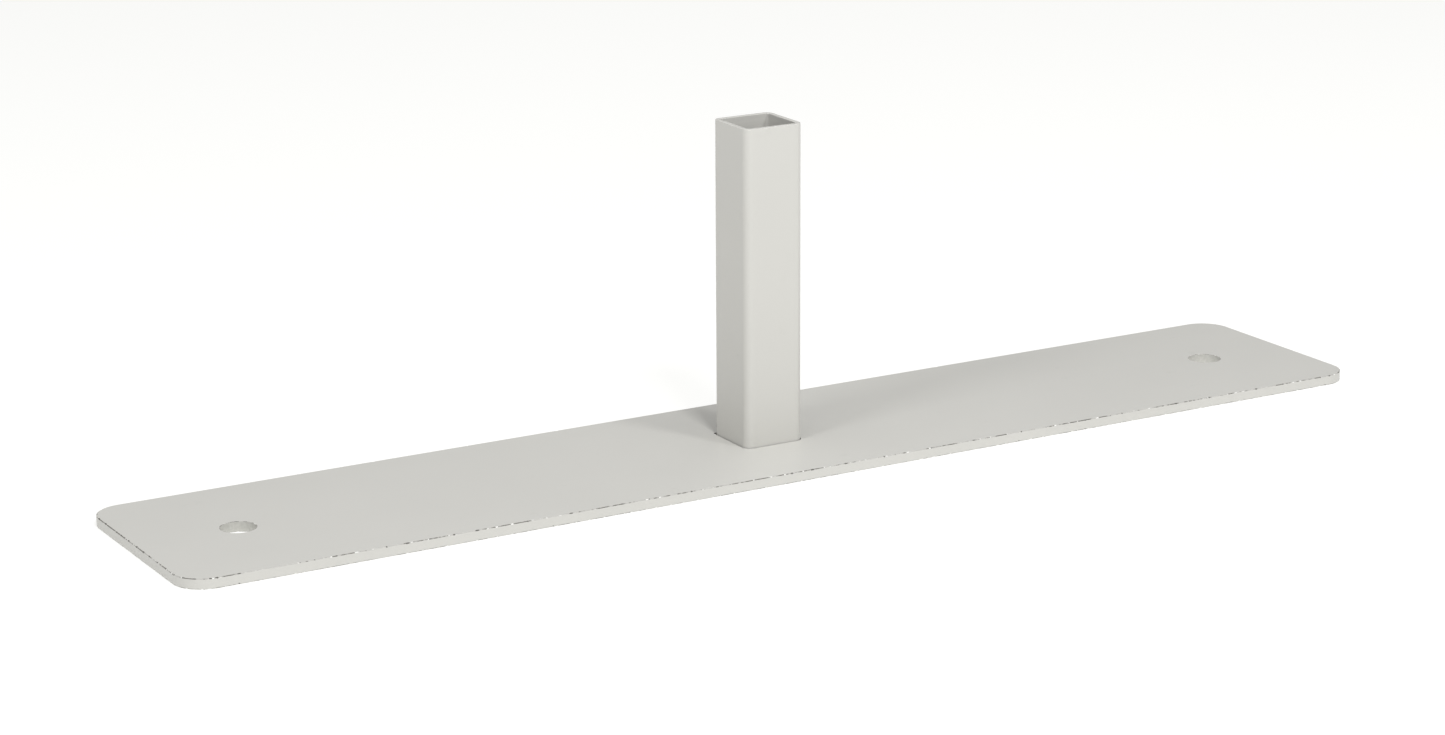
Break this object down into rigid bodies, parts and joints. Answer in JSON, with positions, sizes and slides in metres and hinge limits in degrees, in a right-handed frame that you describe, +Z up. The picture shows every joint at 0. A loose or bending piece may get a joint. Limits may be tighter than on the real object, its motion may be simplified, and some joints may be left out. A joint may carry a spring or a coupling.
{
  "type": "barrier floor foot",
  "caption": "Floor foot of a retail security gate: a flat steel plate with round corners and fixing holes, and a short square socket tube welded upright at its centre.",
  "frame": {"origin": "middle of the plate's underside, on the floor, under the centre of the socket tube", "axes": "+X along the plate's length, +Y across it, +Z up along the socket tube"},
  "size_m": [0.65, 0.12, 0.163],
  "materials": {
    "powder_coat": "semi-matt light warm-grey powder coat over mild steel",
    "coated_weld": "dressed steel weld under the same powder coat"
  },
  "bodies": {
    "root": {"base_plate": "powder_coat", "socket_tube": "powder_coat", "weld_run_front": "coated_weld", "weld_run_back": "coated_weld", "weld_run_left": "coated_weld", "weld_run_right": "coated_weld"}
  },
  "joints": []
}
